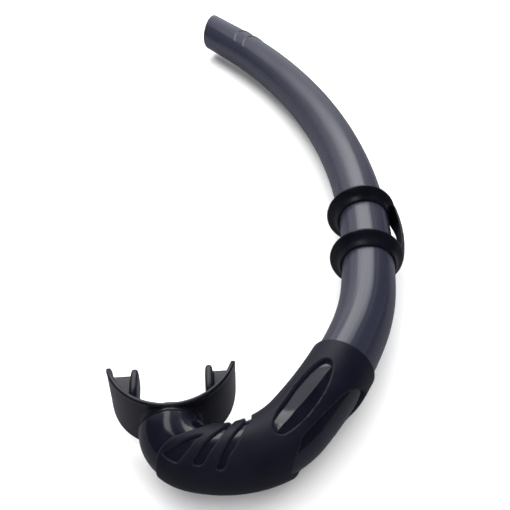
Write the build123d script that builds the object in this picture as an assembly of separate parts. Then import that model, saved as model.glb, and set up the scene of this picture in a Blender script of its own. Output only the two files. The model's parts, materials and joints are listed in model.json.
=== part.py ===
"""Open J snorkel: barrel, elbow core, grip sleeve, strap keeper and mouthpiece.

The tube's centreline lies in one level plane. It is a chain of tangent arcs: the long barrel arc, which
the keeper slides along, then the lower barrel, the grip, the elbow's sweep and its tight corner. Lengths
are millimetres. The model is built about the centre of the barrel arc and moved at the end, so that the
origin is under the middle of the whole snorkel, on the surface it lies on.
"""
from build123d import *
from math import cos, radians, sin
import os

# Barrel
BARREL_ARC_R = 368.0  # centreline radius of the arc that the keeper slides along
BARREL_TOP_DEG = 37.3  # where the barrel arc ends, about its own centre, and its last length runs straight
BARREL_LOW_DEG = -8.6  # where it hands over to the lower barrel
TUBE_R = 12.5
BARREL_BORE_R = 10.5
TOP_STRAIGHT = 25.0  # straight length above the barrel arc, on the centreline
TOP_CUT_DEG = 29.9  # the top opening leans this far towards the inside of the curve
TOP_SPARE = 12.0  # length past the slanted cut, trimmed away
LIP_ROUND = 0.5
RIB_ANGLES = (33.3, 35.1)  # two short raised ribs across the barrel's upper side
RIB_WIDTH = 1.8
RIB_HEIGHT = 0.5
RIB_SPAN_DEG = 94.0

# Arcs below the barrel arc, as (radius, turn in degrees)
LOWER_BARREL = (120.0, 15.0)
GRIP = (219.0, 13.6)
SWEEP = (37.5, 66.0)
CORNER = (12.6, 72.1)
LOWER_ARCS = (LOWER_BARREL, GRIP, SWEEP, CORNER)

# Elbow core
AIRWAY_R = 9.3
CORE_START = 52.0  # distance below the barrel arc where barrel and core butt together
PLUG_LENGTH = 19.0
GLUE_GAP = 0.05
CORE_WAIST_R = 11.3
CORE_NECK_R = 12.4
SPIGOT_R = 10.6
SPIGOT_LENGTH = 5.2
BEAD_R = 11.2
BEAD_WIDTH = 1.4
BEAD_START = 2.2
LEAF_LENGTH = 36.0
LEAF_WIDTH = 11.0
LEAF_RIDGE_R = 13.7

# Grip sleeve
SLEEVE_R = 14.0
SLEEVE_WAIST_R = 12.3
SLEEVE_END_R = 12.9
RIM_AT = 48.2  # top rim, square across the tube
LEAF_WINDOW_LENGTH = 39.5
LEAF_WINDOW_WIDTH = 13.0
LEAF_AT = 79.0
LEAF_INSET = 1.2
LEAF_LEAN_DEG = 8.0
SPINE_WINDOW_AT = 78.0
SPINE_WINDOW_LENGTH = 40.0
SPINE_WINDOW_HEIGHT = 22.4
# Flex slots: where the middle line meets the inside and the outside of the bend, widths and outer end
LONG_SLOT = (103.1, 119.6, 2.0, 2.6, 10.4)
SHORT_SLOT = (110.8, 126.3, 1.6, 2.8, 10.2)
# Outlines given as (distance, outward)
WEDGE_SLOT = ((123.4, -1.6), (126.9, 0.4), (129.0, 2.9), (132.2, 9.2), (129.0, 9.6), (127.4, 5.8), (126.0, 1.2))
FINGER_FROM = (121.0, 1.0)  # the sleeve's elbow end runs from just short of the corner's centre
FINGER_TO = (133.4, 5.3)
SLEEVE_END_AT = 133.6

# Strap keeper
KEEPER_FIT = 0.05  # radial gap on the barrel, a light sliding fit
COLLAR_ANGLES = (-4.9, 0.7)  # rims of the two collars on the barrel arc
# Trumpet outline of a collar as (radius, distance above its rim)
COLLAR_OUTLINE = (
    (11.0, -7.2), (13.7, -7.2), (18.0, -2.0), (18.5, -1.0), (18.0, 0.0), (16.4, -0.6), (13.3, -2.8), (11.0, -2.8),
)
BRIDGE_BELOW_RIMS = (3.6, 0.4)  # where the bridge ends, below the lower and the upper collar's rim
STRAP_GAP = 5.0
BRIDGE_WALL = 1.8
BRIDGE_WIDTH = 11.0

# Mouthpiece
SWIVEL_FIT = 0.05
SEAM_GAP = 0.1
ARCH_HALF_WIDTH = 25.4
ARCH_DEPTH = 26.0
SHIELD_WALL = 2.0
SHIELD_HALF_HEIGHT = 12.6
SHIELD_AT = 1.6  # outer face of the shield, from the seam
COLLAR_LENGTH = 5.3  # collar round the elbow's spigot, from the seam to inside the shield
SHIELD_STRAIGHT = 0.35  # share of the arch's depth over which the shield keeps its full height
WEB_THICKNESS = 3.0
WEB_START = 11.4  # webs and tabs, from the outer face of the shield
WEB_END = 24.8
TAB_OUT = 14.7
TAB_THICKNESS = 3.4
TAB_HALF_HEIGHT = 6.0
TAB_ROUND = 3.0
TAB_START = 11.0
TAB_END = 25.0

LOWER_LENGTHS = [radius * radians(turn) for radius, turn in LOWER_ARCS]
GRIP_END = sum(LOWER_LENGTHS[:2])
WAIST_AT = sum(LOWER_LENGTHS[:3])
SEAM_AT = sum(LOWER_LENGTHS)
SWEEP_STATIONS = 10
CORNER_STATIONS = 7
THROUGH = 60.0  # taller than anything it cuts


def along(distance):
    """Plan position and heading at a distance below the barrel arc. The travel is down and clockwise."""
    heading = BARREL_LOW_DEG - 90
    x = BARREL_ARC_R * cos(radians(BARREL_LOW_DEG))
    y = BARREL_ARC_R * sin(radians(BARREL_LOW_DEG))
    left = distance
    for radius, turn in LOWER_ARCS:
        swept = min(turn, max(0.0, left) / radians(1) / radius)
        centre_x = x + radius * sin(radians(heading))
        centre_y = y - radius * cos(radians(heading))
        heading -= swept
        x = centre_x - radius * sin(radians(heading))
        y = centre_y + radius * cos(radians(heading))
        left -= radius * radians(turn)
    return x, y, heading


def plan_point(distance, outward):
    """Plan point beside the centreline, outward being towards the outside of the bend."""
    x, y, heading = along(distance)
    return x - outward * sin(radians(heading)), y + outward * cos(radians(heading))


def section_plane(distance):
    """Plane across the tube, facing down the travel, with its X along the height."""
    x, y, heading = along(distance)
    return Plane(origin=(x, y, 0), x_dir=(0, 0, 1), z_dir=(cos(radians(heading)), sin(radians(heading)), 0))


def barrel_plane(angle):
    """Plane across the barrel arc, facing up the barrel, with its X towards the outside of the curve."""
    a = radians(angle)
    origin = (BARREL_ARC_R * cos(a), BARREL_ARC_R * sin(a), 0)
    return Plane(origin=origin, x_dir=(cos(a), sin(a), 0), z_dir=(-sin(a), cos(a), 0))


def barrel_run(radius, low, high):
    """Round bar along the barrel arc between two angles."""
    path = CenterArc((0, 0), BARREL_ARC_R, low, high - low)
    return sweep(barrel_plane(low) * Circle(radius), path=path)


def barrel_bar(radius):
    """Round bar through the whole barrel: straight past its top, long arc, then down to the elbow core."""
    straight = extrude(barrel_plane(BARREL_TOP_DEG) * Circle(radius), TOP_STRAIGHT + TOP_SPARE)
    return straight + barrel_run(radius, BARREL_LOW_DEG, BARREL_TOP_DEG) + lower_run(radius, 0, CORE_START)


def lower_run(radius, start, end):
    """Round bar of one radius along the arcs below the barrel arc."""
    pieces = []
    arc_start = 0.0
    for length, (arc_radius, _) in zip(LOWER_LENGTHS, LOWER_ARCS):
        low = max(start, arc_start)
        high = min(end, arc_start + length)
        arc_start += length
        if high - low < 1e-6:
            continue
        x, y, heading = along(low)
        turn = (high - low) / radians(1) / arc_radius
        path = JernArc((x, y), (cos(radians(heading)), sin(radians(heading))), arc_radius, -turn)
        pieces.append(sweep(section_plane(low) * Circle(radius), path=path))
    run = pieces[0]
    for piece in pieces[1:]:
        run += piece
    return run


def tapered_run(stations):
    """Smooth bar through circles, given as (distance, radius)."""
    return loft([section_plane(distance) * Circle(radius) for distance, radius in stations])


def spaced(start, end, count):
    """Evenly spaced distances, both ends included."""
    return [start + (end - start) * i / (count - 1) for i in range(count)]


def blend(value, low, high, low_result, high_result):
    """Smooth interpolation that starts and ends level, and is held at the ends."""
    share = min(1.0, max(0.0, (value - low) / (high - low)))
    share = share * share * (3 - 2 * share)
    return low_result + share * (high_result - low_result)


def core_radius(distance):
    """Outer radius of the elbow core before its relief."""
    if distance < WAIST_AT:
        return blend(distance, GRIP_END, WAIST_AT, TUBE_R, CORE_WAIST_R)
    return blend(distance, WAIST_AT, SEAM_AT, CORE_WAIST_R, CORE_NECK_R)


def sleeve_radius(distance):
    """Outer radius of the grip sleeve."""
    if distance < WAIST_AT:
        return blend(distance, GRIP_END, WAIST_AT, SLEEVE_R, SLEEVE_WAIST_R)
    return blend(distance, WAIST_AT, SEAM_AT, SLEEVE_WAIST_R, SLEEVE_END_R)


def elbow_bar(radius_at, start, end):
    """Solid bar through the grip, sweep and corner, following a radius function."""
    grip = lower_run(radius_at(start), start, GRIP_END)
    stations = spaced(GRIP_END, WAIST_AT, SWEEP_STATIONS) + spaced(WAIST_AT, end, CORNER_STATIONS)[1:]
    return grip + tapered_run([(distance, radius_at(distance)) for distance in stations])


def leaf_outline(length, width):
    """Leaf-shaped plan outline beside the centreline of the grip."""
    x, y = plan_point(LEAF_AT, -LEAF_INSET)
    heading = along(LEAF_AT)[2] - LEAF_LEAN_DEG
    return Pos(x, y) * Rot(0, 0, heading) * Ellipse(length / 2, width / 2)


def make_barrel():
    """Curved tube with a slanted top and two short ribs on its upper side."""
    tube = barrel_bar(TUBE_R)
    for angle in RIB_ANGLES:
        half = RIB_WIDTH / 2 / radians(1) / BARREL_ARC_R
        rib = barrel_run(TUBE_R + RIB_HEIGHT, angle - half, angle + half)
        wedge = barrel_plane(angle) * Pos(0, 0, -RIB_WIDTH * 2)
        reach = 2 * TUBE_R
        corners = [(0, 0)]
        for side in (-1, 0, 1):
            lean = radians(90 + side * RIB_SPAN_DEG / 2)
            corners.append((reach * cos(lean), -reach * sin(lean)))
        rib &= extrude(wedge * make_face(Polyline(corners, close=True)), RIB_WIDTH * 4)
        tube += rib
    tube -= barrel_bar(BARREL_BORE_R)
    a = radians(BARREL_TOP_DEG + TOP_CUT_DEG)
    end = barrel_plane(BARREL_TOP_DEG).offset(TOP_STRAIGHT).origin
    cut = Plane(origin=end, x_dir=(0, 0, 1), z_dir=(-sin(a), cos(a), 0))
    tube = split(tube, bisect_by=cut, keep=Keep.BOTTOM)
    lip = tube.faces().sort_by(Axis.Y)[-1]
    return fillet(lip.edges(), LIP_ROUND)


def make_elbow_core():
    """Elbow with a plug for the barrel, a beaded spigot for the mouthpiece and a ridged leaf on each face."""
    core = elbow_bar(core_radius, CORE_START, SEAM_AT)
    core += lower_run(BARREL_BORE_R - GLUE_GAP, CORE_START - PLUG_LENGTH, CORE_START + 1)
    for side in (1, -1):
        ridge = leaf_outline(LEAF_LENGTH, LEAF_WIDTH)
        leaf = extrude(ridge, side * LEAF_RIDGE_R)
        leaf &= lower_run(LEAF_RIDGE_R, CORE_START, WAIST_AT)
        core += leaf
    x, y, heading = along(SEAM_AT)
    outlet = Plane(origin=(x, y, 0), x_dir=(0, 0, 1), z_dir=(cos(radians(heading)), sin(radians(heading)), 0))
    core += extrude(outlet * Circle(SPIGOT_R), SPIGOT_LENGTH)
    core += extrude(outlet.offset(BEAD_START) * Circle(BEAD_R), BEAD_WIDTH)
    core -= lower_run(AIRWAY_R, CORE_START - PLUG_LENGTH, SEAM_AT)
    core -= extrude(outlet * Circle(AIRWAY_R), SPIGOT_LENGTH)
    return core


def prism(points):
    """Upright block through the whole thickness, over a plan outline given as (distance, outward)."""
    outline = [plan_point(distance, outward) for distance, outward in points]
    face = make_face(Polyline(outline, close=True))
    return extrude(face, THROUGH / 2, both=True)


def flex_slot(inner_at, outer_at, mouth, tail, outer_reach):
    """Slanted slot round the inside of the bend, from beyond the inner side to its rounded outer end."""
    share = (outer_reach + SLEEVE_R) / (2 * SLEEVE_R)
    end_at = inner_at + share * (outer_at - inner_at)
    outline = [
        (inner_at - mouth / 2, -SLEEVE_R - 1),
        (inner_at + mouth / 2, -SLEEVE_R - 1),
        (end_at + tail / 2, outer_reach - 1),
        (end_at, outer_reach),
        (end_at - tail / 2, outer_reach - 1),
    ]
    return prism(outline)


def make_grip_sleeve():
    """Thin sleeve over barrel and core, open at its windows, slots and slanted ends."""
    far = SLEEVE_R + 4
    sleeve = elbow_bar(sleeve_radius, RIM_AT, SEAM_AT - 1)
    sleeve -= elbow_bar(core_radius, CORE_START, SEAM_AT)
    sleeve -= lower_run(TUBE_R, RIM_AT - 1, CORE_START)
    for side in (1, -1):
        window = leaf_outline(LEAF_WINDOW_LENGTH, LEAF_WINDOW_WIDTH)
        sleeve -= extrude(window, side * THROUGH / 2)
    x, y, heading = along(SPINE_WINDOW_AT)
    outward = (-sin(radians(heading)), cos(radians(heading)), 0)
    spine = Plane(origin=(x, y, 0), x_dir=(0, 0, 1), z_dir=outward)
    opening = spine * Ellipse(SPINE_WINDOW_HEIGHT / 2, SPINE_WINDOW_LENGTH / 2)
    sleeve -= extrude(opening, THROUGH / 2)
    sleeve -= flex_slot(*LONG_SLOT)
    sleeve -= flex_slot(*SHORT_SLOT)
    sleeve -= prism(WEDGE_SLOT)
    finger_at, short_of_centre = FINGER_FROM
    inner = short_of_centre - CORNER[0]
    sleeve -= prism([(finger_at, -far), (finger_at, inner), FINGER_TO, (SLEEVE_END_AT, far), (SEAM_AT, far),
                     (SEAM_AT, inner)])
    return sleeve


def make_strap_keeper():
    """Two flared collars on the barrel arc, joined by a bridge that leaves a slot for the mask strap."""
    collars = []
    for angle in COLLAR_ANGLES:
        rim = barrel_plane(angle)
        section = Plane(origin=rim.origin, x_dir=rim.x_dir, z_dir=(0, 0, 1))
        face = section * make_face(Polyline(COLLAR_OUTLINE, close=True))
        collars.append(revolve(face, Axis(rim.origin, rim.z_dir), 360))
    slot_r = BARREL_ARC_R + TUBE_R + STRAP_GAP
    ends = []
    for angle, below in zip(COLLAR_ANGLES, BRIDGE_BELOW_RIMS):
        ends.append(angle - below / radians(1) / BARREL_ARC_R)
    inner = CenterArc((0, 0), slot_r, ends[0], ends[1] - ends[0])
    outer = CenterArc((0, 0), slot_r + BRIDGE_WALL, ends[0], ends[1] - ends[0])
    band = make_face([inner, outer, Line(inner @ 0, outer @ 0), Line(inner @ 1, outer @ 1)])
    keeper = collars[0] + collars[1] + extrude(band, BRIDGE_WIDTH / 2, both=True)
    low, high = COLLAR_ANGLES
    return keeper - barrel_run(TUBE_R + KEEPER_FIT, low - 3, high + 3)


def arch_outline(half_width, depth, back):
    """Half-ellipse arch in the mouthpiece's plan, open towards the mouth, closed at a straight line."""
    centre_y = SHIELD_AT + ARCH_DEPTH
    arch = EllipticalCenterArc((0, centre_y), half_width, depth, 180, arc_size=180)
    lines = Polyline(arch @ 1, (half_width, back), (-half_width, back), arch @ 0)
    return make_face([arch, lines])


def make_mouthpiece():
    """Collar, dental-arch shield, bite webs and bite tabs. Its own Y runs from the seam to the mouth."""
    tip = SHIELD_AT + ARCH_DEPTH
    outer = arch_outline(ARCH_HALF_WIDTH, ARCH_DEPTH, tip + 1)
    inner = arch_outline(ARCH_HALF_WIDTH - SHIELD_WALL, ARCH_DEPTH - SHIELD_WALL, tip + 1)
    shield = extrude(outer - inner, SHIELD_HALF_HEIGHT, both=True)
    # seen from the side, the shield keeps its height past its middle and then closes to its tips
    straight = SHIELD_AT + ARCH_DEPTH * SHIELD_STRAIGHT
    side = EllipticalCenterArc((straight, 0), tip - straight, SHIELD_HALF_HEIGHT, -90, arc_size=180)
    box = Polyline(side @ 1, (0, SHIELD_HALF_HEIGHT), (0, -SHIELD_HALF_HEIGHT), side @ 0)
    profile = Plane.YZ * make_face([side, box])
    shield &= extrude(profile, THROUGH / 2, both=True)
    web_plan = inner & Pos(0, (WEB_START + WEB_END) / 2 + SHIELD_AT) * Rectangle(THROUGH, WEB_END - WEB_START)
    web_plan -= Pos(0, SHIELD_AT + WEB_END / 2) * Rectangle(2 * TAB_OUT, THROUGH)
    piece = shield + extrude(web_plan, WEB_THICKNESS / 2, both=True)
    for hand in (-1, 1):
        middle = SHIELD_AT + (TAB_START + TAB_END) / 2
        tab = Pos(hand * TAB_OUT, middle, 0) * Box(TAB_THICKNESS, TAB_END - TAB_START, 2 * TAB_HALF_HEIGHT)
        tab = fillet(tab.edges().filter_by(Axis.X), TAB_ROUND)
        piece += tab
    outlet = Plane(origin=(0, 0, 0), x_dir=(1, 0, 0), z_dir=(0, 1, 0))
    # the collar's outside runs on to the shield's curved inner face all round
    run_on = extrude(outlet.offset(SEAM_GAP) * Circle(CORE_NECK_R), ARCH_DEPTH / 2)
    piece += run_on - extrude(inner, THROUGH / 2, both=True)
    piece += extrude(outlet.offset(SEAM_GAP) * Circle(CORE_NECK_R), COLLAR_LENGTH - SEAM_GAP)
    bore = extrude(outlet * Circle(SPIGOT_R + SWIVEL_FIT), ARCH_DEPTH / 2)
    groove_start = outlet.offset(BEAD_START - SEAM_GAP)
    groove = extrude(groove_start * Circle(BEAD_R + SWIVEL_FIT), BEAD_WIDTH + 2 * SEAM_GAP)
    piece -= bore
    piece -= groove
    x, y, heading = along(SEAM_AT)
    return Pos(x, y, 0) * Rot(0, 0, heading + 270) * piece


def write_parts():
    """Build every piece, stand the snorkel on its origin and write one file for each."""
    pieces = {
        "barrel": make_barrel(),
        "elbow_core": make_elbow_core(),
        "grip_sleeve": make_grip_sleeve(),
        "strap_keeper": make_strap_keeper(),
        "mouthpiece": make_mouthpiece(),
    }
    boxes = [piece.bounding_box() for piece in pieces.values()]
    low = [min(getattr(box.min, axis) for box in boxes) for axis in "XYZ"]
    high = [max(getattr(box.max, axis) for box in boxes) for axis in "XYZ"]
    move = Pos(-(low[0] + high[0]) / 2, -(low[1] + high[1]) / 2, -low[2])
    os.makedirs("parts", exist_ok=True)
    for name, piece in pieces.items():
        export_step(move * piece, f"parts/{name}.step")
    return move


home = write_parts()
seam_x, seam_y, seam_heading = along(SEAM_AT)
print("centre of the barrel arc", home.position)
print("swivel axis through", home.position + Vector(seam_x, seam_y, 0), "heading", seam_heading + 360)
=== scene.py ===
import json
from math import pi, radians

import bpy
import numpy as np
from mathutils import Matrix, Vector


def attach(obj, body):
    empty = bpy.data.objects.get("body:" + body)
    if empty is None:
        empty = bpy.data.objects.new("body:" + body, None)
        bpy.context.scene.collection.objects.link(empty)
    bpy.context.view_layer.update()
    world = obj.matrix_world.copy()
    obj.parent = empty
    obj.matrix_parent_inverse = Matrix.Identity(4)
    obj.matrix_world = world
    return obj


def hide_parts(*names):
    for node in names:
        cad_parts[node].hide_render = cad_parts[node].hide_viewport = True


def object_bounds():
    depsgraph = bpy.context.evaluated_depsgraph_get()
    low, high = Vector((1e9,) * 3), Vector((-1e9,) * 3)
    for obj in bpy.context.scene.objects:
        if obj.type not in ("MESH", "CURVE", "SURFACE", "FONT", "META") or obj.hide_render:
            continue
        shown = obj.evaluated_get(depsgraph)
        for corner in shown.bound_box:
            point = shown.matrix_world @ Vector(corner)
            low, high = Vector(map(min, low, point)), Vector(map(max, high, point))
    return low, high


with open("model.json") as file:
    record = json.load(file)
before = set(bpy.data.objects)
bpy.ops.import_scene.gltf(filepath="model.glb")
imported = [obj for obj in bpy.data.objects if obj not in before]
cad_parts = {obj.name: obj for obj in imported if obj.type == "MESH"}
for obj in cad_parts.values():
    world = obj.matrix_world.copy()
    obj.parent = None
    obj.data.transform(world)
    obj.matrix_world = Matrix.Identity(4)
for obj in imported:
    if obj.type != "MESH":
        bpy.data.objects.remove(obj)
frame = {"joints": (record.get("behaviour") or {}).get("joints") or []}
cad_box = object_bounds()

# ---------------------------------------------------------------------------------------------------------
# Barrel: a smoke-grey extruded tube, bent to a long arc and then a tighter one where it enters the sleeve.
# Its straight top is sawn at a slant and polished round, with two short bowed ribs a little way below it.

MM = 0.001
joint_places = {joint["name"]: np.array(joint["pos_m"]) for joint in frame["joints"]}
ARC_CENTRE = joint_places["keeper_slide"]  # the barrel's long arc turns about this point
BARREL_ARC = 368.0
LOW_ANGLE = -8.6  # where the long arc hands over to the tighter ones, about its own centre
TOP_ANGLE = 37.3  # where the long arc ends and the top runs straight
TOP_STRAIGHT = 25.0
LOWER_ARCS = ((120.0, 15.0), (219.0, 13.6), (37.5, 66.0), (12.6, 72.1))  # radius, turn in degrees
TUBE = 12.5
BORE = 10.5
TOP_LEAN = 29.9  # slant of the sawn top, towards the inside of the curve
LIP = 0.9  # rounding of the sawn edge
BUTT_AT = 52.0  # the tube butts against the elbow this far below the long arc
RIB_ANGLES = (33.6, 35.4)
RIB_HALF_WIDTH = 1.1
RIB_HEIGHT = 0.5
RIB_MIDDLE = 97.0  # middle of the ribs round the tube: its upper side
RIB_HALF_SPAN = 54.0
RIB_BOW = 7.0  # the ribs' ends lie this far down the tube from their middles

arc_lengths = [radius * radians(turn) for radius, turn in LOWER_ARCS]
GRIP_END = sum(arc_lengths[:2])
WAIST_AT = sum(arc_lengths[:3])
SEAM_AT = sum(arc_lengths)
LONG_ARC = radians(TOP_ANGLE - LOW_ANGLE) * BARREL_ARC


def centreline(distance):
    """Plan position and heading at distances below the barrel's long arc, in millimetres about its centre.

    Above zero the point is R (cos a, sin a) on the long arc, and past its top it goes on along
    (-sin a, cos a). Below zero each arc of radius r turns the heading h clockwise by w: x grows by
    r (sin h - sin(h - w)) and y by r (cos(h - w) - cos h). The rest is straight."""
    distance = np.asarray(distance, float)
    above = np.maximum(-distance, 0.0)
    past = np.maximum(above - LONG_ARC, 0.0)
    angle = radians(LOW_ANGLE) + (above - past) / BARREL_ARC
    x = BARREL_ARC * np.cos(angle) - past * np.sin(angle)
    y = BARREL_ARC * np.sin(angle) + past * np.cos(angle)
    heading = angle - pi / 2
    left = np.maximum(distance, 0.0)
    for radius, turn in LOWER_ARCS:
        swept = np.clip(left / radius, 0.0, radians(turn))
        x = x + radius * (np.sin(heading) - np.sin(heading - swept))
        y = y + radius * (np.cos(heading - swept) - np.cos(heading))
        heading = heading - swept
        left = np.maximum(left - radius * radians(turn), 0.0)
    return x + left * np.cos(heading), y + left * np.sin(heading), heading


def beside_line(distance, outward, height):
    """Points in the row frame, off the centreline by outward (-sin h, cos h) and by height upwards."""
    x, y, heading = centreline(distance)
    place = np.broadcast_arrays(x - outward * np.sin(heading), y + outward * np.cos(heading), height)
    return np.stack(place, -1) * MM + ARC_CENTRE


def on_tube(distance, radius, around):
    """Points round the centreline: around is 0 on the inside of the bend, and a quarter turn is the top."""
    return beside_line(distance, -radius * np.cos(around), radius * np.sin(around))


def smooth_step(value, low, high):
    """Rises from 0 at low to 1 at high as 3 t^2 - 2 t^3."""
    share = np.clip((value - low) / (high - low), 0.0, 1.0)
    return share * share * (3 - 2 * share)


def grid_faces(rows, columns, loop_rows=False, loop_columns=True):
    """Quads of a grid numbered row by row; a loop joins its last row or column to its first."""
    row = np.arange(rows if loop_rows else rows - 1)[:, None]
    column = np.arange(columns if loop_columns else columns - 1)[None, :]
    below = (row + 1) % rows
    beside = (column + 1) % columns
    near, far = row * columns, below * columns
    corners = (near + column, far + column, far + beside, near + beside)
    return np.stack(np.broadcast_arrays(*corners), -1).reshape(-1, 4)


def add_piece(name, points, faces, finish, sharp=40.0):
    """Mesh object from points and faces, smooth except where faces meet at more than the sharp angle."""
    mesh = bpy.data.meshes.new(name)
    mesh.from_pydata(points.reshape(-1, 3).tolist(), [], [list(face) for face in faces])
    mesh.shade_smooth()
    mesh.set_sharp_from_angle(angle=radians(sharp))
    mesh.materials.append(finish)
    piece = bpy.data.objects.new(name, mesh)
    bpy.context.scene.collection.objects.link(piece)
    return piece


def store_straight(piece, distance, radius, around):
    """Keeps each point's place on the tube as if the tube were straight, for patterns that follow it."""
    parts = np.broadcast_arrays(distance, radius * np.cos(around), radius * np.sin(around))
    straight = piece.data.attributes.new("straight", "FLOAT_VECTOR", "POINT")
    straight.data.foreach_set("vector", np.stack(parts, -1).astype(np.float32).ravel())


def start_finish(name, **sockets):
    """New material whose Principled shader has these plain values, named with _ for a space."""
    finish = bpy.data.materials.new(name)
    finish.use_nodes = True
    shader = finish.node_tree.nodes["Principled BSDF"]
    for socket, value in sockets.items():
        shader.inputs[socket.replace("_", " ")].default_value = value
    return finish, finish.node_tree, shader


def pattern_place(tree, attribute=None, stretch=(1.0, 1.0, 1.0)):
    """Vector that a pattern reads: object coordinates or a stored attribute, scaled along each axis."""
    if attribute is None:
        source = tree.nodes.new("ShaderNodeTexCoord").outputs["Object"]
    else:
        node = tree.nodes.new("ShaderNodeAttribute")
        node.attribute_name = attribute
        source = node.outputs["Vector"]
    mapping = tree.nodes.new("ShaderNodeMapping")
    mapping.inputs["Scale"].default_value = stretch
    tree.links.new(source, mapping.inputs["Vector"])
    return mapping.outputs["Vector"]


def grain(tree, place, scale, detail=3.0):
    """Noise value, about 0.3 to 0.7, whose cells are 1 / scale long."""
    noise = tree.nodes.new("ShaderNodeTexNoise")
    noise.inputs["Scale"].default_value = scale
    noise.inputs["Detail"].default_value = detail
    tree.links.new(place, noise.inputs["Vector"])
    return noise.outputs["Fac"]


def spread(tree, value, low, high, start=0.3, end=0.7):
    """Maps a noise value from start..end to low..high, held at the ends."""
    node = tree.nodes.new("ShaderNodeMapRange")
    for socket, number in (("From Min", start), ("From Max", end), ("To Min", low), ("To Max", high)):
        node.inputs[socket].default_value = number
    tree.links.new(value, node.inputs["Value"])
    return node.outputs["Result"]


def two_tone(tree, value, first, second):
    """Colour between two tones by a value from 0 to 1."""
    node = tree.nodes.new("ShaderNodeMix")
    node.data_type = "RGBA"
    node.inputs["A"].default_value = (*first, 1.0)
    node.inputs["B"].default_value = (*second, 1.0)
    tree.links.new(value, node.inputs["Factor"])
    return node.outputs["Result"]


def raise_surface(tree, shader, heights):
    """Bump from (value, height in millimetres) pairs, one on top of the other."""
    normal = None
    for value, height in heights:
        node = tree.nodes.new("ShaderNodeBump")
        node.inputs["Distance"].default_value = height * MM
        tree.links.new(value, node.inputs["Height"])
        if normal is not None:
            tree.links.new(normal, node.inputs["Normal"])
        normal = node.outputs["Normal"]
    tree.links.new(normal, shader.inputs["Normal"])


def smoke_tube_finish():
    """Smoke-grey gloss: faint streaks along the extrusion, soft draw lines and a few fine handling marks."""
    finish, tree, shader = start_finish("smoke_tube", IOR=1.5)
    streaks = grain(tree, pattern_place(tree, "straight", (0.004, 1.0, 1.0)), 0.55, 4.0)
    clouds = grain(tree, pattern_place(tree, "straight", (0.02, 0.1, 0.1)), 1.0, 3.0)
    marks = grain(tree, pattern_place(tree, "straight", (0.35, 2.2, 2.2)), 1.4, 5.0)
    tone = two_tone(tree, spread(tree, streaks, 0.0, 1.0), (0.014, 0.015, 0.027), (0.026, 0.027, 0.043))
    tree.links.new(tone, shader.inputs["Base Color"])
    tree.links.new(spread(tree, clouds, 0.17, 0.27), shader.inputs["Roughness"])
    raise_surface(tree, shader, [(streaks, 0.10), (marks, 0.006)])
    return finish


def barrel_rows():
    """Fixed distances of the tube's rows, up to just under the slanted top: close together at the ribs."""
    rib_start = -radians(RIB_ANGLES[0] - LOW_ANGLE) * BARREL_ARC + RIB_BOW + 2.0
    rib_end = -radians(RIB_ANGLES[1] - LOW_ANGLE) * BARREL_ARC - 2.0
    last = -LONG_ARC - TOP_STRAIGHT + TUBE * np.tan(radians(TOP_LEAN)) + 2.0
    low_part = np.linspace(BUTT_AT, 0.0, 26)
    long_part = np.linspace(0.0, rib_start, 120)[1:]
    rib_part = np.linspace(rib_start, rib_end, 96)[1:]
    top_part = np.linspace(rib_end, last, 20)[1:]
    return np.concatenate([low_part, long_part, rib_part, top_part])


def sawn_top(radius, around):
    """Distance at which the slanted cut meets a line along the straight top: the cut rises by the tangent of
    its lean for every millimetre outwards."""
    rise = -radius * np.cos(around) * np.tan(radians(TOP_LEAN))
    return -(LONG_ARC + TOP_STRAIGHT + rise)


def rib_height(distance, around):
    """Two bowed ribs: height h sqrt(1 - x^4) across each, easing to nothing at its ends."""
    off_middle = np.abs(np.degrees(around) - RIB_MIDDLE)
    ends = 1.0 - smooth_step(off_middle, RIB_HALF_SPAN - 5.0, RIB_HALF_SPAN)
    height = 0.0
    for angle in RIB_ANGLES:
        middle = -radians(angle - LOW_ANGLE) * BARREL_ARC + RIB_BOW * (off_middle / RIB_HALF_SPAN) ** 2
        across = np.clip(np.abs(distance - middle) / RIB_HALF_WIDTH, 0.0, 1.0)
        height = height + RIB_HEIGHT * ends * np.sqrt(1.0 - across ** 4)
    return height


def barrel_grid(columns=168, lip_rows=7):
    """Closed wall profile carried round the tube: up the outside, over the rounded lip and down the bore."""
    around = np.linspace(0.0, 2 * pi, columns, endpoint=False)[None, :]
    fixed = barrel_rows()[:, None]
    outside_top = sawn_top(TUBE, around)
    inside_top = sawn_top(BORE, around)
    rise = np.linspace(0.0, 1.0, 9)[1:, None]
    outer = np.concatenate([fixed + 0 * around, fixed[-1] + rise * (outside_top + LIP - fixed[-1])])
    inner = np.concatenate([fixed + 0 * around, fixed[-1] + rise * (inside_top + LIP - fixed[-1])])[::-1]
    turn = np.linspace(0.0, pi, lip_rows)[1:-1, None]
    half_wall = (TUBE - BORE) / 2
    lip_radius = TUBE - half_wall + half_wall * np.cos(turn) + 0 * around
    lip_distance = sawn_top(lip_radius, around) + LIP * (1 - np.sin(turn))
    distance = np.concatenate([outer, lip_distance, inner])
    radius = np.concatenate([TUBE + rib_height(outer, around), lip_radius, BORE + 0 * inner])
    return distance, radius, around


tube_distance, tube_radius, tube_around = barrel_grid()
barrel = add_piece(
    "smoke_barrel",
    on_tube(tube_distance, tube_radius, tube_around),
    grid_faces(*tube_distance.shape, loop_rows=True)[:, ::-1],
    smoke_tube_finish(),
)
store_straight(barrel, tube_distance, tube_radius, tube_around)
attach(barrel, "tube")
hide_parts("barrel")

# ---------------------------------------------------------------------------------------------------------
# Elbow core: a high-gloss black injection moulding. A plug is glued into the barrel, a beaded spigot takes
# the mouthpiece, and a leaf of two flat facets stands out on its top and its underside.

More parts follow.
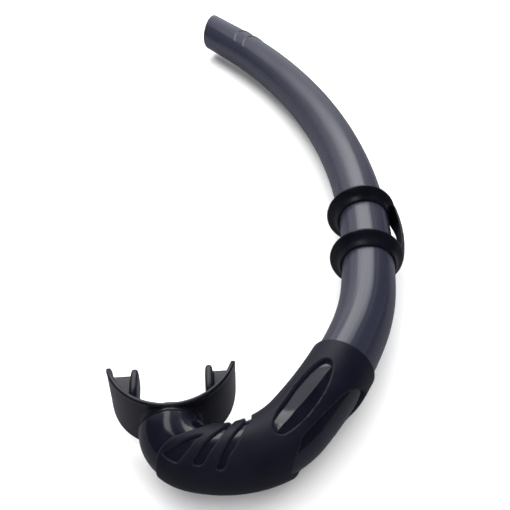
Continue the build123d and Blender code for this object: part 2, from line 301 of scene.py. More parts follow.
PLUG_START = 33.0
PLUG_RADIUS = 10.45
AIRWAY = 9.3
CORE_WAIST = 11.3
CORE_NECK = 12.4
SPIGOT = 10.6
SPIGOT_LENGTH = 5.2
BEAD = 11.2
BEAD_PLACE = (2.2, 3.6)  # from the seam
RIDGE_RISE = 1.2
RIDGE_AROUND = 360.0 * 55 / 216  # on one of the core's grid lines
LEAF_SPAN = (59.9, 98.5)
LEAF_POINTS = ((59.8, 76.5), (60.6, 89.8), (67.1, 100.5), (74.6, 106.8), (86, 110.2), (95, 112), (97.4, 109.8),
               (98.6, 103), (98.1, 93), (95.2, 79.5), (90.4, 69), (82.7, 62.2), (75.5, 58.2), (68.1, 60.3),
               (62.8, 66.5))  # distance, degrees round the tube


def closed_curve(points, per_span=12):
    """Catmull-Rom curve through a closed ring of points: the cubic whose slope at each point is half the step
    from the point before to the point after."""
    points = np.array(points, float)
    before, after, later = (np.roll(points, shift, axis=0) for shift in (1, -1, -2))
    t = np.linspace(0.0, 1.0, per_span, endpoint=False)[None, :, None]
    p0, p1, p2, p3 = (ring[:, None, :] for ring in (before, points, after, later))
    curve = p1 + 0.5 * t * (p2 - p0 + t * (2 * p0 - 5 * p1 + 4 * p2 - p3 + t * (3 * (p1 - p2) + p3 - p0)))
    return curve.reshape(-1, 2)


def core_base(distance):
    """Core radius: the tube's as far as the grip, down to the waist, and up again to the neck."""
    waist = TUBE + (CORE_WAIST - TUBE) * smooth_step(distance, GRIP_END, WAIST_AT)
    return waist + (CORE_NECK - CORE_WAIST) * smooth_step(distance, WAIST_AT, SEAM_AT)


def leaf_edges(distance):
    """Degrees round the tube of the leaf's inner and outer edges at a distance."""
    outline = closed_curve(LEAF_POINTS)
    tips = np.argmin(outline[:, 0]), np.argmax(outline[:, 0])
    outline = np.roll(outline, -tips[0], axis=0)
    far = np.argmax(outline[:, 0])
    outer_side = outline[: far + 1]
    inner_side = np.concatenate([outline[far:], outline[:1]])[::-1]
    return (
        np.interp(distance, inner_side[:, 0], inner_side[:, 1]),
        np.interp(distance, outer_side[:, 0], outer_side[:, 1]),
    )


def flat_facet(around, start, start_radius, end, end_radius):
    """Straight chord between two points in polar form:
    r = r1 r2 sin(b - a) / (r1 sin(x - a) + r2 sin(b - x))."""
    top = start_radius * end_radius * np.sin(end - start)
    return top / (start_radius * np.sin(around - start) + end_radius * np.sin(end - around))


def core_surface(distance, around):
    """Core radius and angle at grid points, with the leaf's facets, its ridge kept on one grid line."""
    base = core_base(distance)
    inner, outer = leaf_edges(distance)
    inner, outer = np.radians(inner - 1.5), np.radians(outer + 1.5)
    drift = 5.5 * smooth_step(distance, 86.0, 96.0) + 7.0 * smooth_step(distance, 94.0, 99.5)
    ridge = np.radians(RIDGE_AROUND + drift)
    side = np.where(around > pi, -1.0, 1.0)
    folded = np.where(around > pi, 2 * pi - around, around)
    near = 1.0 - smooth_step(np.abs(folded - radians(RIDGE_AROUND)), 0.0, radians(40.0))
    folded = folded + (ridge - radians(RIDGE_AROUND)) * near
    rise = RIDGE_RISE * smooth_step(distance, 59.5, 68.0) * (1 - smooth_step(distance, 86.0, 99.5))
    crest = base + rise
    foot = base - 0.12
    inner_facet = flat_facet(folded, inner, foot, ridge, crest)
    outer_facet = flat_facet(folded, ridge, crest, outer, foot)
    facet = np.where(folded < ridge, inner_facet, outer_facet)
    on_leaf = (folded > inner) & (folded < outer) & (distance > LEAF_SPAN[0]) & (distance < LEAF_SPAN[1])
    radius = np.where(on_leaf, facet, base)
    return radius, np.where(side < 0, 2 * pi - folded, folded)


def core_grid(columns=216):
    """Closed profile carried round the line: plug, body with its leaves, spigot with its bead, and airway."""
    around = np.linspace(0.0, 2 * pi, columns, endpoint=False)[None, :]
    body = np.concatenate([np.linspace(BUTT_AT, 58.0, 10), np.linspace(58.0, 102.0, 112)[1:],
                           np.linspace(102.0, SEAM_AT - 0.4, 70)[1:]])
    body_radius, body_around = core_surface(body[:, None], around)
    bead_start, bead_end = (SEAM_AT + place for place in BEAD_PLACE)
    plug = [(PLUG_START, AIRWAY), (PLUG_START, PLUG_RADIUS - 0.5), (PLUG_START + 0.5, PLUG_RADIUS),
            (BUTT_AT - 0.01, PLUG_RADIUS), (BUTT_AT - 0.01, TUBE - 0.1)]
    spigot = [(SEAM_AT - 0.1, CORE_NECK - 0.15), (SEAM_AT, CORE_NECK - 0.45), (SEAM_AT, SPIGOT),
              (bead_start, SPIGOT), (bead_start + 0.3, BEAD), (bead_end - 0.3, BEAD), (bead_end, SPIGOT),
              (SEAM_AT + SPIGOT_LENGTH - 0.3, SPIGOT), (SEAM_AT + SPIGOT_LENGTH, SPIGOT - 0.3)]
    bore = [(distance, AIRWAY) for distance in np.linspace(SEAM_AT + SPIGOT_LENGTH, PLUG_START + 1.0, 60)]
    before, after = (np.array(rows)[:, :, None] + 0 * around for rows in (plug, spigot + bore))
    distance = np.concatenate([before[:, 0], body[:, None] + 0 * around, after[:, 0]])
    radius = np.concatenate([before[:, 1], body_radius, after[:, 1]])
    angle = np.concatenate([0 * before[:, 0] + around, body_around, 0 * after[:, 0] + around])
    return distance, radius, angle


def gloss_elbow_finish():
    """Near-black high gloss with a faint blue cast, slight flow ripple and hairline marks."""
    finish, tree, shader = start_finish("gloss_elbow", IOR=1.45)
    clouds = grain(tree, pattern_place(tree), 90.0, 3.0)
    hairlines = grain(tree, pattern_place(tree, None, (1.0, 0.25, 1.0)), 1500.0, 4.0)
    tone = two_tone(tree, spread(tree, clouds, 0.0, 1.0), (0.0025, 0.003, 0.007), (0.005, 0.0055, 0.011))
    tree.links.new(tone, shader.inputs["Base Color"])
    tree.links.new(spread(tree, clouds, 0.09, 0.16), shader.inputs["Roughness"])
    raise_surface(tree, shader, [(clouds, 0.12), (hairlines, 0.003)])
    return finish


core_distance, core_radius, core_around = core_grid()
core = add_piece(
    "gloss_elbow_core",
    on_tube(core_distance, core_radius, core_around),
    grid_faces(*core_distance.shape, loop_rows=True),
    gloss_elbow_finish(),
    sharp=14.0,
)
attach(core, "tube")
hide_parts("elbow_core")

# ---------------------------------------------------------------------------------------------------------
# Grip sleeve: a thin matt soft-touch skin moulded over the barrel joint and the elbow. It is open at the leaf
# windows, at the spine window and at three flex slots that leave bands round the bend. Its edges are rounded.

SLEEVE = 14.0
SLEEVE_WAIST = 12.35
SLEEVE_END = 12.95
UNROLL = 13.4  # mean radius, to measure distances on the unrolled skin
EDGE_ROUND = 0.6
SKIN_GAP = 0.03
RIM_AT = 48.2  # the top rim is square across the tube
# Edges of the skin. The end is (degrees round the tube, distance), the others (distance, degrees).
# These and LEAF_POINTS are measured points that a separate program put on the tube. Hidden sides are guessed.
END_POINTS = ((0, 118.5), (37, 121.2), (63, 125.2), (79, 129.1), (96, 131.5), (110.5, 133), (140, 133.6),
              (180, 133.2))
SPINE_POINTS = ((57.4, 180), (58.6, 168), (61.1, 155), (65.2, 141), (71.3, 133), (81.6, 128), (87.6, 127.5),
                (91.8, 131.5), (93.8, 141), (95.5, 150), (97, 165), (97.8, 180))
LONG_SLOT = ((103.2, 0), (104.2, 25), (106.7, 54), (110.8, 76), (113.8, 94), (115.5, 106.8), (116.9, 118.5),
             (117.6, 130.5), (118.2, 138), (117.2, 141.5), (116, 137.5), (114.9, 121.5), (113, 108.5), (110.8, 93),
             (107.6, 75.2), (103.6, 57), (100.9, 30), (99.7, 0))
SHORT_SLOT = ((111, 0), (111.8, 20), (113.6, 40), (116.9, 65.5), (119.6, 81.2), (121.7, 95.5), (123.4, 112),
              (124.5, 125), (125, 132.8), (124.2, 136.5), (122.3, 133), (120.7, 115), (119.3, 102.6), (117, 84),
              (114.5, 67), (111.6, 48), (109.3, 24), (108.4, 0))
WEDGE_SLOT = ((123.4, 83.3), (126.9, 91.5), (129, 102.8), (130.9, 120.2), (132.3, 136), (132, 138.8),
              (129.4, 140.2), (128.8, 138), (128.4, 131.8), (127.4, 117), (126.4, 101), (125.2, 91))


def unrolled(points):
    """Outline of (distance, degrees) as millimetres on the unrolled skin."""
    return np.array(points, float) * (1.0, radians(UNROLL))


def mirrored(points, about):
    """A half outline and its mirror image about an angle, as one ring."""
    half = [tuple(point) for point in points]
    other = [(distance, 2 * about - angle) for distance, angle in half[::-1] if angle != about]
    return half + other


def clear_of(outline, along_skin, across_skin):
    """Distance from a closed outline, positive outside it: the least distance to its straight pieces, with the
    sign from the number of pieces that a line across the skin crosses."""
    start = outline
    step = np.roll(outline, -1, axis=0) - start
    least = np.full(along_skin.shape, 1e9)
    inside = np.zeros(along_skin.shape, bool)
    for (x, y), (dx, dy) in zip(start, step):
        share = np.clip(((along_skin - x) * dx + (across_skin - y) * dy) / (dx * dx + dy * dy), 0.0, 1.0)
        least = np.minimum(least, np.hypot(along_skin - x - share * dx, across_skin - y - share * dy))
        spans = (x > along_skin) != (x + dx > along_skin)
        inside ^= spans & (across_skin < y + (along_skin - x) * dy / np.where(dx == 0, 1e-9, dx))
    return np.where(inside, -least, least)


def edge_distance(distance, around):
    """How far a point of the skin is from its nearest edge, negative where the skin is cut away."""
    folded = np.degrees(np.abs((around + pi) % (2 * pi) - pi))
    across = folded * radians(UNROLL)
    end = np.interp(folded, *np.array(smooth_line(END_POINTS)).T)
    least = np.minimum(distance - RIM_AT, (end - distance) * 0.93)
    across_bend = [mirrored(SPINE_POINTS, 180), mirrored(LONG_SLOT, 0), mirrored(SHORT_SLOT, 0)]
    outlines = [LEAF_POINTS, *across_bend, WEDGE_SLOT]
    for outline in outlines:
        least = np.minimum(least, clear_of(unrolled(closed_curve(outline, 7)), distance, across))
    return least


def smooth_line(points, per_span=10):
    """Open curve through (angle, distance) points, level at both ends: a Catmull-Rom curve over the points
    with the first and the last one doubled by mirror images."""
    points = [tuple(point) for point in points]
    before = (2 * points[0][0] - points[1][0], points[1][1])
    after = (2 * points[-1][0] - points[-2][0], points[-2][1])
    curve = closed_curve([before, *points, after], per_span)
    return curve[per_span : per_span * len(points) + 1]


def snap_to_edge(distance, around, clear):
    """Moves the nearest grid points onto the skin's edge.

    Where the clearance changes sign between neighbours, at share t = c / (c - c') of the way, the neighbour
    nearer the edge moves there. A point moves along the one of its four directions that moves it least."""
    best = np.full(clear.shape, np.inf)
    moved_distance, moved_around = distance.copy(), around.copy()
    for axis in (0, 1):
        for step in (1, -1):
            other = np.roll(clear, -step, axis=axis)
            delta_distance = np.roll(distance, -step, axis=axis) - distance
            delta_around = (np.roll(around, -step, axis=axis) - around + pi) % (2 * pi) - pi
            share = clear / np.where(clear == other, 1.0, clear - other)
            length = share * np.hypot(delta_distance, delta_around * UNROLL)
            takes = (clear * other < 0) & (share <= 0.5) & (length < best)
            if axis == 0:
                takes[-1 if step == 1 else 0] = False
            best = np.where(takes, length, best)
            moved_distance = np.where(takes, distance + share * delta_distance, moved_distance)
            moved_around = np.where(takes, around + share * delta_around, moved_around)
    return moved_distance, moved_around, np.where(np.isfinite(best), 0.0, clear)


def trimmed_faces(clear):
    """Faces on the skin's side of its edge: whole quads, and the three other corners of a quad with one corner
    cut away."""
    quads = grid_faces(*clear.shape)
    corner = clear.ravel()[quads]
    cut = corner < 0
    solid = (corner > 0).any(axis=1)
    whole = quads[solid & ~cut.any(axis=1)]
    partial = quads[solid & (cut.sum(axis=1) == 1)]
    first = np.argmax(cut[solid & (cut.sum(axis=1) == 1)], axis=1)
    picks = (first[:, None] + np.array([1, 2, 3])) % 4
    return whole, np.take_along_axis(partial, picks, axis=1)


def open_edges(whole, triangles):
    """Directed edges that only one face has."""
    edges = np.concatenate(
        [np.stack([faces, np.roll(faces, -1, axis=1)], -1).reshape(-1, 2) for faces in (whole, triangles)]
    )
    size = edges.max() + 1
    forward = edges[:, 0].astype(np.int64) * size + edges[:, 1]
    backward = edges[:, 1].astype(np.int64) * size + edges[:, 0]
    return edges[~np.isin(forward, backward)]


def sleeve_base(distance):
    """Sleeve radius, following the core's swell."""
    waist = SLEEVE + (SLEEVE_WAIST - SLEEVE) * smooth_step(distance, GRIP_END, WAIST_AT)
    return waist + (SLEEVE_END - SLEEVE_WAIST) * smooth_step(distance, WAIST_AT, SEAM_AT)


def sleeve_skin(rows=236, columns=208):
    """Skin as an outer and an inner sheet over one trimmed grid, walled together along every edge.

    Near an edge the outer radius falls by e - sqrt(e^2 - (e - c)^2), a quarter round of radius e at
    clearance c."""
    distance = np.linspace(RIM_AT - 1.0, SEAM_AT - 7.0, rows)[:, None] + np.zeros(columns)
    around = np.linspace(0.0, 2 * pi, columns, endpoint=False)[None, :] + np.zeros((rows, 1))
    clear = edge_distance(distance, around)
    distance, around, clear = snap_to_edge(distance, around, clear)
    whole, triangles = trimmed_faces(clear)
    depth = np.clip(EDGE_ROUND - clear, 0.0, EDGE_ROUND)
    outer = sleeve_base(distance) - (EDGE_ROUND - np.sqrt(EDGE_ROUND ** 2 - depth ** 2))
    inner = np.where(distance < BUTT_AT, TUBE, core_base(distance)) + SKIN_GAP
    points = np.concatenate([on_tube(distance, outer, around).reshape(-1, 3),
                             on_tube(distance, inner, around).reshape(-1, 3)])
    offset = distance.size
    edges = open_edges(whole, triangles)
    wall = np.stack([edges[:, 1], edges[:, 0], edges[:, 0] + offset, edges[:, 1] + offset], -1)
    faces = [whole, whole[:, ::-1] + offset, wall, triangles, triangles[:, ::-1] + offset]
    used = np.unique(np.concatenate([part.ravel() for part in faces]))
    number = np.zeros(len(points), int)
    number[used] = np.arange(len(used))
    # each point's clearance from the skin's edge, which drives the lighter edge band of wear and painted highlight
    edge_wear_and_highlight = np.concatenate([clear.ravel(), clear.ravel()])[used]
    return points[used], [face for part in faces for face in number[part].tolist()], edge_wear_and_highlight


def soft_sleeve_finish():
    """Matt soft-touch black: fine orange-peel grain, cloudy sheen, and a lighter band along every edge that is
    partly edge wear and partly a painted edge highlight.
    """
    finish, tree, shader = start_finish("soft_sleeve", IOR=1.3, Sheen_Weight=0.02, Sheen_Roughness=0.4)
    clouds = grain(tree, pattern_place(tree), 60.0, 4.0)
    peel = grain(tree, pattern_place(tree), 2600.0, 2.0)
    edge = tree.nodes.new("ShaderNodeAttribute")
    edge.attribute_name = "edge_clearance"
    # 1 at an edge, 0 from 0.7 mm in: lighter colour there, partly edge wear and partly a painted edge highlight
    edge_wear_and_highlight = spread(tree, edge.outputs["Fac"], 1.0, 0.0, 0.0, 0.7)
    tone = two_tone(tree, spread(tree, clouds, 0.0, 1.0), (0.002, 0.0025, 0.007), (0.0045, 0.005, 0.011))
    # mixes the lighter edge tone in: edge wear together with a painted edge highlight
    wear_and_highlight_tone = tree.nodes.new("ShaderNodeMix")
    wear_and_highlight_tone.data_type = "RGBA"
    wear_and_highlight_tone.inputs["B"].default_value = (0.016, 0.017, 0.026, 1.0)
    tree.links.new(spread(tree, edge_wear_and_highlight, 0.0, 0.45, 0.0, 1.0), wear_and_highlight_tone.inputs["Factor"])
    tree.links.new(tone, wear_and_highlight_tone.inputs["A"])
    tree.links.new(wear_and_highlight_tone.outputs["Result"], shader.inputs["Base Color"])
    tree.links.new(spread(tree, clouds, 0.46, 0.56), shader.inputs["Roughness"])
    raise_surface(tree, shader, [(clouds, 0.05), (peel, 0.012)])
    return finish


sleeve_points, sleeve_faces, sleeve_edge_clearance = sleeve_skin()
sleeve = add_piece("soft_grip_sleeve", sleeve_points, sleeve_faces, soft_sleeve_finish(), sharp=50.0)
# clearance from the skin's edges, for the lighter edge band of wear and painted highlight
edge_layer = sleeve.data.attributes.new("edge_clearance", "FLOAT", "POINT")
edge_layer.data.foreach_set("value", np.clip(sleeve_edge_clearance, 0.0, 5.0).astype(np.float32))
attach(sleeve, "tube")
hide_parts("grip_sleeve")

# ---------------------------------------------------------------------------------------------------------
# Strap keeper: one black rubber moulding, pushed onto the barrel. Two trumpet-shaped collars grip the tube,
# and a bowed bridge on the outer side leaves a slot for the mask strap.

COLLAR_RIMS = (-4.9, 0.7)  # angles on the barrel's arc
COLLAR_RADIUS = 18.0
COLLAR_FOOT = 7.2
COLLAR_STEPS = 6  # points for each span of the collar's profile
KEEPER_FIT = 0.05
BRIDGE_ENDS = 16.2  # the bridge's middle line leaves the two rims at this radius
BRIDGE_BOW = 1.5
BRIDGE_THICKNESS = 1.7
BRIDGE_HALF_WIDTH = 7.5  # at its ends
BRIDGE_NARROWER = 2.3  # half width lost at its middle
BRIDGE_BELOW_RIMS = (2.0, 0.4)  # where the bridge ends, below the lower and the upper collar's rim
CASTING_CELL, CASTING_PASSES = 0.35, 4


def collar_shell(rim_angle, columns=200):
    """Trumpet profile, thin foot and rolled rim, turned about the barrel's centreline. It is a smooth ring
    through (radius, distance up the tube) points."""
    fit = TUBE + KEEPER_FIT
    profile = closed_curve([
        (fit, -COLLAR_FOOT + 0.2), (fit + 0.7, -COLLAR_FOOT - 0.15), (fit + 1.3, -COLLAR_FOOT + 1.0),
        (fit + 2.3, -4.2), (fit + 4.4, -2.6), (COLLAR_RADIUS - 0.25, -1.9), (COLLAR_RADIUS, -0.9),
        (COLLAR_RADIUS - 0.7, -0.1), (COLLAR_RADIUS - 2.6, -0.3), (fit + 1.8, -1.6), (fit + 0.5, -2.8),
        (fit, -3.4), (fit, -5.4),
    ], COLLAR_STEPS)
    profile[:, 0] = np.maximum(profile[:, 0], fit)
    around = np.linspace(0.0, 2 * pi, columns, endpoint=False)[None, :]
    rim = -radians(rim_angle - LOW_ANGLE) * BARREL_ARC
    distance = rim - profile[:, 1][:, None] + 0 * around
    # the flare is a little wider on the inside of the bend and narrower where the bridge leaves it
    flare = 1 + 0.15 * np.cos(around) - 0.07 * np.cos(around) ** 2
    radius = fit + (profile[:, 0][:, None] - fit) * flare
    faces = grid_faces(*distance.shape, loop_rows=True)[:, ::-1]
    return on_tube(distance, radius, around).reshape(-1, 3), faces


def rounded_bar(along_points, half_width, half_thickness, centre_distance, centre_outward, corner=40):
    """Bar of rounded section, |x/a|^4 + |z/b|^4 = 1, curled round the barrel by z^2 / 2R, carried along a
    line of the plan and closed by its ends shrinking to a point."""
    turn = np.linspace(0.0, 2 * pi, corner, endpoint=False)[None, :]
    sharp = lambda value: np.sign(value) * np.abs(value) ** 0.5
    shrink = along_points[:, None]
    outward = centre_outward[:, None] + half_thickness[:, None] * shrink * sharp(np.cos(turn))
    height = half_width[:, None] * shrink * sharp(np.sin(turn))
    outward = outward - height ** 2 / (2 * COLLAR_RADIUS)
    distance = centre_distance[:, None] + 0 * turn
    return beside_line(distance, outward, height).reshape(-1, 3), grid_faces(*distance.shape)


def bridge_shell(rows=60):
    """Strap bridge from one collar's rim to the other's, bowed outwards as 1 - x^2 and wider at its ends."""
    low, high = (-radians(angle - LOW_ANGLE) * BARREL_ARC for angle in COLLAR_RIMS)
    share = np.linspace(0.0, 1.0, rows)
    start, end = low + BRIDGE_BELOW_RIMS[0], high + BRIDGE_BELOW_RIMS[1]
    distance = start + share * (end - start)
    middle = 1 - (2 * share - 1) ** 2
    outward = BRIDGE_ENDS + BRIDGE_BOW * middle
    width = BRIDGE_HALF_WIDTH - BRIDGE_NARROWER * middle
    thickness = BRIDGE_THICKNESS / 2 + 0 * share
    shrink = np.sqrt(np.clip(1 - (2 * share - 1) ** 16, 0.0, 1.0))
    return rounded_bar(shrink, width, thickness, distance, outward)


def cast(name, shells, cell, passes):
    """One moulding from overlapping closed shells: their union on a grid of cells, then averaged with its
    neighbours a few times, which leaves small fillets where the shells meet."""
    counts = np.cumsum([0] + [len(points) for points, _ in shells])
    points = np.concatenate([points for points, _ in shells])
    faces = [face for (_, part), count in zip(shells, counts) for face in (np.asarray(part) + count).tolist()]
    blank_mesh = bpy.data.meshes.new(name)
    blank_mesh.from_pydata(points.tolist(), [], faces)
    blank = bpy.data.objects.new(name + "_blank", blank_mesh)
    bpy.context.scene.collection.objects.link(blank)
    union = blank.modifiers.new("union", "REMESH")
    union.mode = "VOXEL"
    union.voxel_size = cell * MM
    ease = blank.modifiers.new("ease", "SMOOTH")
    ease.factor = 0.5
    ease.iterations = passes
    return set_modifiers(blank, name)


def set_modifiers(blank, name):
    """The blank's mesh with its modifiers worked in, as a new mesh; the blank itself is removed."""
    bpy.context.view_layer.update()
    evaluated = blank.evaluated_get(bpy.context.evaluated_depsgraph_get())
    mesh = bpy.data.meshes.new_from_object(evaluated)
    mesh.name = name
    bpy.data.objects.remove(blank)
    return mesh


def add_cast(name, mesh, finish):
    """Object for a cast mesh, smooth all over."""
    mesh.shade_smooth()
    mesh.materials.clear()
    mesh.materials.append(finish)
    piece = bpy.data.objects.new(name, mesh)
    bpy.context.scene.collection.objects.link(piece)
    return piece


def keeper_rubber_finish():
    """Satin black rubber: soft mould texture and a little dust-grey bloom."""
    finish, tree, shader = start_finish("keeper_rubber", IOR=1.36)
    bloom = grain(tree, pattern_place(tree), 110.0, 4.0)
    texture = grain(tree, pattern_place(tree), 2200.0, 2.0)
    tone = two_tone(tree, spread(tree, bloom, 0.0, 1.0), (0.0015, 0.002, 0.004), (0.004, 0.0045, 0.008))
    tree.links.new(tone, shader.inputs["Base Color"])
    tree.links.new(spread(tree, bloom, 0.30, 0.42), shader.inputs["Roughness"])
    raise_surface(tree, shader, [(bloom, 0.06), (texture, 0.010)])
    return finish


keeper_shells = [*(collar_shell(angle) for angle in COLLAR_RIMS), bridge_shell()]
keeper_mesh = cast("keeper", keeper_shells, CASTING_CELL, CASTING_PASSES)
keeper = add_cast("rubber_strap_keeper", keeper_mesh, keeper_rubber_finish())
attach(keeper, "keeper")
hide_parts("strap_keeper")

# ---------------------------------------------------------------------------------------------------------
# Mouthpiece: one soft black silicone moulding, its collar stretched over the elbow's bead. A dental-arch
# shield with a thin bead round its rim carries two bite tabs on webs.

SWIVEL_PLACE = joint_places["mouth_swivel"]
ARCH_HALF_WIDTH = 25.4
ARCH_DEPTH = 26.0
ARCH_TURN = 91.0
SHIELD_AT = 1.6  # outer face of the shield from the seam
SHIELD_HALF_HEIGHT = 12.8
SHIELD_WALL = 1.7
RIM_BEAD = 0.45
TAB_OUT = 14.7
TAB_FROM, TAB_TO = 12.6, 28.0
TAB_HALF_HEIGHT = 6.0
TAB_THICKNESS = 3.4
WEB_THICKNESS = 2.6
COLLAR_BORE = 10.65
COLLAR_LENGTH = 4.6
SEAM_GAP = 0.1
WEB_TURNS = (48.0, 90.0)  # the webs' span along the arch, in degrees
MOULD_CELL, MOULD_PASSES = 0.32, 5


def from_mouth_frame(sideways, ahead, height):
    """Points in the row frame from the mouthpiece's own: ahead runs from the seam towards the mouth."""
    heading = centreline(SEAM_AT)[2]
    x = -sideways * np.sin(heading + pi) + ahead * np.cos(heading)
    y = sideways * np.cos(heading + pi) + ahead * np.sin(heading)
    parts = np.broadcast_arrays(x, y, height)
    return np.stack(parts, -1) * MM + SWIVEL_PLACE


def arch_point(turn, inward=0.0):
    """Plan point of the arch: x = a sin t, y = b (1 - cos t), moved inwards along the arch's normal."""
    x = ARCH_HALF_WIDTH * np.sin(turn)
    y = SHIELD_AT + ARCH_DEPTH * (1 - np.cos(turn))
    slope_x = ARCH_HALF_WIDTH * np.cos(turn)
    slope_y = ARCH_DEPTH * np.sin(turn)
    size = np.hypot(slope_x, slope_y)
    return x - inward * slope_y / size, y + inward * slope_x / size


def shield_shell(rows=181, corner=96):
    """Shield: a thin beaded section carried round the arch, its height H sqrt(1 - |t / tm|^8) closing at the
    tips."""
    turn = np.linspace(-1.0, 1.0, rows)[:, None]
    turn = np.sign(turn) * (1 - (1 - np.abs(turn)) ** 1.6)
    half_height = SHIELD_HALF_HEIGHT * np.sqrt(np.clip(1 - np.abs(turn) ** 8.0, 0.0, 1.0))
    loop = np.linspace(0.0, 2 * pi, corner, endpoint=False)[None, :]
    height_share = np.sign(np.sin(loop)) * np.abs(np.sin(loop)) ** 0.6
    side = np.sign(np.cos(loop)) * np.abs(np.cos(loop)) ** 0.35
    bead = RIM_BEAD * np.exp(-(((1 - np.abs(height_share)) * half_height - 0.6) / 0.8) ** 2)
    half_wall = (SHIELD_WALL / 2 + bead) * np.minimum(1.0, half_height / 2.0 + 0.02)
    x, y = arch_point(turn * radians(ARCH_TURN), SHIELD_WALL / 2 + half_wall * side)
    points = from_mouth_frame(x, y, half_height * height_share)
    return points.reshape(-1, 3), grid_faces(rows, corner)


def block_shell(middle, half, power=6.0, rows=48, columns=64):
    """Rounded block |x/a|^n + |y/b|^n + |z/c|^n = 1, by scaling the directions of a sphere."""
    latitude = np.linspace(-pi / 2, pi / 2, rows)[:, None]
    longitude = np.linspace(0.0, 2 * pi, columns, endpoint=False)[None, :]
    direction = np.stack(np.broadcast_arrays(np.cos(latitude) * np.cos(longitude),
                                             np.cos(latitude) * np.sin(longitude), np.sin(latitude)), -1)
    scale = (np.abs(direction) ** power).sum(-1, keepdims=True) ** (-1 / power)
    points = direction * scale * half + middle
    placed = from_mouth_frame(points[..., 0], points[..., 1], points[..., 2])
    return placed.reshape(-1, 3), grid_faces(rows, columns)[:, ::-1]


def web_shell(hand, rows=40, columns=28):
    """Flat web from the shield's inner face to the bite tab, a strip between two arch curves, rounded at its
    free edge."""
    turn = np.linspace(*np.radians(WEB_TURNS), rows)[:, None]
    loop = np.linspace(0.0, 2 * pi, columns, endpoint=False)[None, :]
    ends = np.sqrt(np.clip(1 - (2 * (turn - turn[0]) / (turn[-1] - turn[0]) - 1) ** 10, 0.0, 1.0))
    edge_x, edge_y = arch_point(turn, SHIELD_WALL / 2)
    inner_x = TAB_OUT + 0 * edge_x
    share = 0.5 + 0.5 * np.sign(np.cos(loop)) * np.abs(np.cos(loop)) ** 0.4
    x = inner_x + (edge_x - inner_x) * share
    y = edge_y + 0 * share
    height = WEB_THICKNESS / 2 * ends * np.sign(np.sin(loop)) * np.abs(np.sin(loop)) ** 0.4
    faces = grid_faces(rows, columns)
    return from_mouth_frame(hand * x, y, height).reshape(-1, 3), faces if hand > 0 else faces[:, ::-1]


def turned_shell(radius, ahead, columns=128):
    """Surface turned about the swivel's axis, closed by its own ends. Both arrays have a row for each ring,
    and ahead may vary round the ring."""
    around = np.linspace(0.0, 2 * pi, columns, endpoint=False)[None, :]
    points = from_mouth_frame(radius * np.cos(around), ahead + 0 * around, radius * np.sin(around))
    return points.reshape(-1, 3), grid_faces(len(radius), columns)[:, ::-1]


def neck_shell(rows=12, columns=128):
    """Solid neck from the seam into the shield: at a sideways place x it ends at the depth of the arch there,
    b (1 - sqrt(1 - (x / a)^2)), but not before the collar's own length."""
    around = np.linspace(0.0, 2 * pi, columns, endpoint=False)[None, :]
    share = np.linspace(0.0, 1.0, rows)
    slimmer = 0.9 * smooth_step(share, 0.1, 0.4)  # stays under the shield's rim
    radius = np.concatenate([[0.01], CORE_NECK - 0.02 - slimmer, [0.01]])[:, None]
    share = np.concatenate([[0.0], share, [1.0]])[:, None]
    depth = ARCH_DEPTH * (1 - np.sqrt(1 - (radius * np.cos(around) / ARCH_HALF_WIDTH) ** 2))
    end = np.maximum(SHIELD_AT + depth + SHIELD_WALL * 0.6, COLLAR_LENGTH)
    return turned_shell(radius, SEAM_GAP + share * (end - SEAM_GAP), columns)


def bore_shell():
    """What the core pin leaves hollow: a straight bore with a groove for the bead."""
    groove_start, groove_end = BEAD_PLACE[0] - SEAM_GAP, BEAD_PLACE[1] + SEAM_GAP
    start, end = -2.0, ARCH_DEPTH / 2
    profile = [(0.01, start), (COLLAR_BORE, start), (COLLAR_BORE, groove_start - 0.1),
               (BEAD + 0.05, groove_start), (BEAD + 0.05, groove_end), (COLLAR_BORE, groove_end + 0.1), (COLLAR_BORE, end), (0.01, end)]
    radius, ahead = np.array(profile).T[:, :, None]
    return turned_shell(radius, ahead)


def cut_bore(mesh, shell):
    """Takes the bore's shape out of a cast mesh."""
    points, faces = shell
    pin_mesh = bpy.data.meshes.new("core_pin")
    pin_mesh.from_pydata(points.tolist(), [], faces.tolist())
    pin = bpy.data.objects.new("core_pin", pin_mesh)
    blank = bpy.data.objects.new("blank", mesh)
    for part in (pin, blank):
        bpy.context.scene.collection.objects.link(part)
    cut = blank.modifiers.new("bore", "BOOLEAN")
    cut.operation = "DIFFERENCE"
    cut.solver = "EXACT"
    cut.object = pin
    result = set_modifiers(blank, mesh.name)
    bpy.data.objects.remove(pin)
    return result


def mouth_silicone_finish():
    """Satin black silicone: smooth skin with soft clouds in its sheen and a very fine spark-eroded grain."""
    finish, tree, shader = start_finish("mouth_silicone", IOR=1.40)
    clouds = grain(tree, pattern_place(tree), 80.0, 3.0)
    texture = grain(tree, pattern_place(tree), 3000.0, 2.0)
    tone = two_tone(tree, spread(tree, clouds, 0.0, 1.0), (0.003, 0.0035, 0.007), (0.006, 0.0065, 0.011))
    tree.links.new(tone, shader.inputs["Base Color"])
    tree.links.new(spread(tree, clouds, 0.26, 0.36), shader.inputs["Roughness"])
    raise_surface(tree, shader, [(clouds, 0.05), (texture, 0.006)])
    return finish


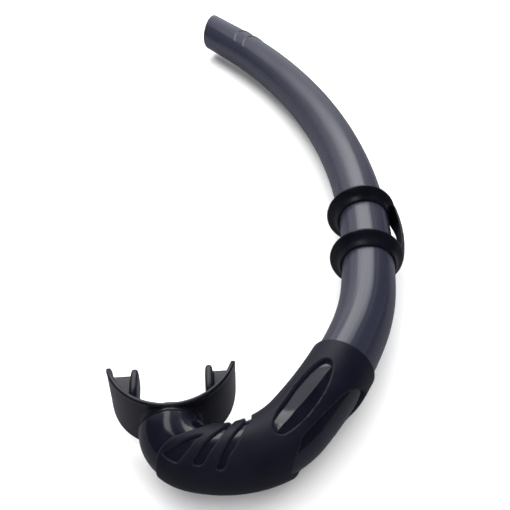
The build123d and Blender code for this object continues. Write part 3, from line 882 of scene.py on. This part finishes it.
tab_middle = (TAB_FROM + TAB_TO) / 2
tab_half = np.array((TAB_THICKNESS / 2, (TAB_TO - TAB_FROM) / 2, TAB_HALF_HEIGHT))
mouth_shells = [shield_shell(), neck_shell()]
for hand in (-1, 1):
    mouth_shells.append(web_shell(hand))
    mouth_shells.append(block_shell(np.array((hand * TAB_OUT, tab_middle, 0.0)), tab_half, 4.0))
mouth_mesh = cut_bore(cast("mouth", mouth_shells, MOULD_CELL, MOULD_PASSES), bore_shell())
mouth = add_cast("silicone_mouthpiece", mouth_mesh, mouth_silicone_finish())
mouth.data.set_sharp_from_angle(angle=radians(50.0))
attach(mouth, "mouth")
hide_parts("mouthpiece")

# ---------------------------------------------------------------------------------------------------------
# Studio: a plain pale floor, soft boxes and a pale sky, and the camera above the elbow end.

lowest, highest = cad_box
middle = Vector((lowest[0] + highest[0], lowest[1] + highest[1], 0.0)) / 2
BRIGHT_WAY = (-0.2, 0.94, 0.27)  # the sky is palest this way: behind, a little up and to the left


def pale_floor(half=3.0):
    """Flat floor under the snorkel, darker in reflections than it looks, so that glossy sides stay dark."""
    finish, tree, shader = start_finish("studio_floor", Roughness=0.85, IOR=1.2)
    speckle = grain(tree, pattern_place(tree), 40.0, 2.0)
    tone = two_tone(tree, spread(tree, speckle, 0.0, 1.0), (0.93, 0.93, 0.935), (0.94, 0.94, 0.945))
    mirrored_tone = tree.nodes.new("ShaderNodeMix")
    mirrored_tone.data_type = "RGBA"
    mirrored_tone.inputs["B"].default_value = (0.16, 0.16, 0.18, 1.0)
    in_reflections = tree.nodes.new("ShaderNodeLightPath").outputs["Is Glossy Ray"]
    tree.links.new(in_reflections, mirrored_tone.inputs["Factor"])
    tree.links.new(tone, mirrored_tone.inputs["A"])
    tree.links.new(mirrored_tone.outputs["Result"], shader.inputs["Base Color"])
    corners = np.array([(-half, -half, 0), (half, -half, 0), (half, half, 0), (-half, half, 0)], float)
    return add_piece("studio_floor", corners - (0, 0, 0.0002), np.array([[0, 1, 2, 3]]), finish)


def soft_box(name, place, width, height, power, colour=(1.0, 1.0, 1.0)):
    """Rectangular soft light aimed at the snorkel's middle."""
    lamp = bpy.data.lights.new(name, "AREA")
    lamp.shape = "RECTANGLE"
    lamp.size = width
    lamp.size_y = height
    lamp.energy = power
    lamp.color = colour
    holder = bpy.data.objects.new(name, lamp)
    holder.location = place
    holder.rotation_mode = "QUATERNION"
    holder.rotation_quaternion = (middle - Vector(place)).to_track_quat("-Z", "Y")
    bpy.context.scene.collection.objects.link(holder)
    return holder


def add_sky():
    """World that fades from pale to dark by the cosine between the view direction and the bright way."""
    sky = bpy.data.worlds.new("pale_sky")
    sky.use_nodes = True
    tree = sky.node_tree
    direction = tree.nodes.new("ShaderNodeTexCoord").outputs["Generated"]
    cosine = tree.nodes.new("ShaderNodeVectorMath")
    cosine.operation = "DOT_PRODUCT"
    cosine.inputs[1].default_value = BRIGHT_WAY
    tree.links.new(direction, cosine.inputs[0])
    backdrop = tree.nodes["Background"]
    backdrop.inputs["Color"].default_value = (0.93, 0.95, 1.0, 1.0)
    tree.links.new(spread(tree, cosine.outputs["Value"], 0.05, 1.0, 0.6, 1.0), backdrop.inputs["Strength"])
    bpy.context.scene.world = sky


pale_floor()
soft_box("key_box", (-0.06, 0.27, 0.36), 0.5, 0.28, 1.3)
soft_box("neck_box", (-0.2, 0.06, 0.52), 0.3, 0.14, 0.4)
fill = soft_box("fill_box", (0.0, -0.1, 1.1), 2.4, 2.4, 42.0)
fill.visible_glossy = False  # lights the floor evenly and leaves no reflection of its own

add_sky()
bpy.context.scene.view_settings.view_transform = "Standard"

CAMERA_FROM_ARC_CENTRE = np.array((311.901, -291.018, 218.9))  # the long arc's centre is not in view
CAMERA_PITCH = 40.0
FRAME_WIDTH = 510.0
FOCAL_LENGTH = 700.0  # in the same units as the frame's width; assumed, and the snorkel's length rests on it
lens = bpy.data.cameras.new("camera")
lens.sensor_width = 36.0
lens.lens = lens.sensor_width * FOCAL_LENGTH / FRAME_WIDTH
lens.clip_start = 0.01
camera = bpy.data.objects.new("camera", lens)
camera.location = ARC_CENTRE + CAMERA_FROM_ARC_CENTRE * MM
camera.rotation_euler = (radians(90.0 - CAMERA_PITCH), 0.0, 0.0)
bpy.context.scene.collection.objects.link(camera)
bpy.context.scene.camera = camera
